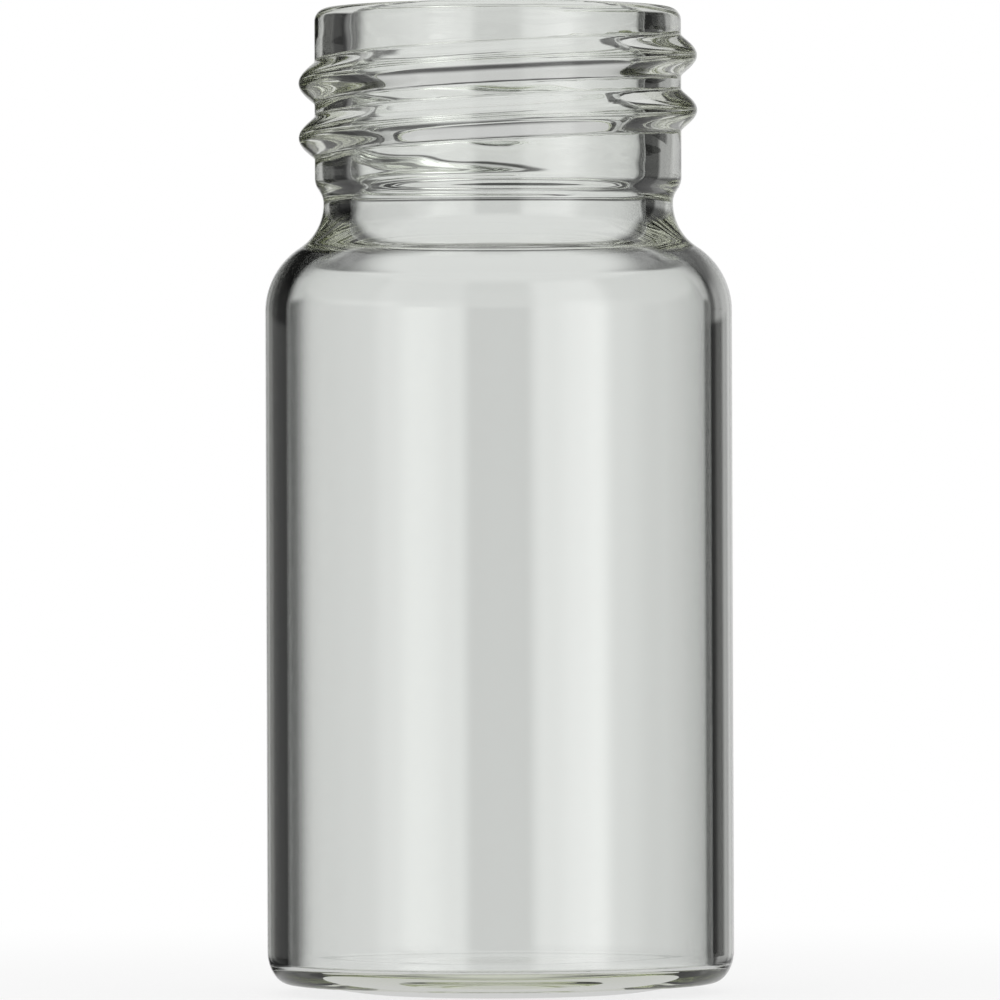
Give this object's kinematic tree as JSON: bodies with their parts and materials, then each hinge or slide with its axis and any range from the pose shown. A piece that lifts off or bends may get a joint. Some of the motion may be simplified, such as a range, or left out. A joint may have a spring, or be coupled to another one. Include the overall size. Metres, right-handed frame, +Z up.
{
  "type": "glass sample vial",
  "caption": "Clear glass screw-neck sample vial, open, with a straight round body, a rounded shoulder, a raised outside thread and a wide mouth.",
  "frame": {"origin": "centre of the base, on the surface the vial stands on", "axes": "+Z up along the vial's axis, through the mouth; +X points to the side of the vial where the thread's crest passes 2.7 mm below the rim; the thread's upper end points to +Y"},
  "size_m": [0.027, 0.027, 0.057],
  "materials": {
    "clear_glass": "clear, fire-polished, with a faint grey-green cast where it is thick"
  },
  "bodies": {
    "root": {"vial": "clear_glass"}
  },
  "joints": []
}
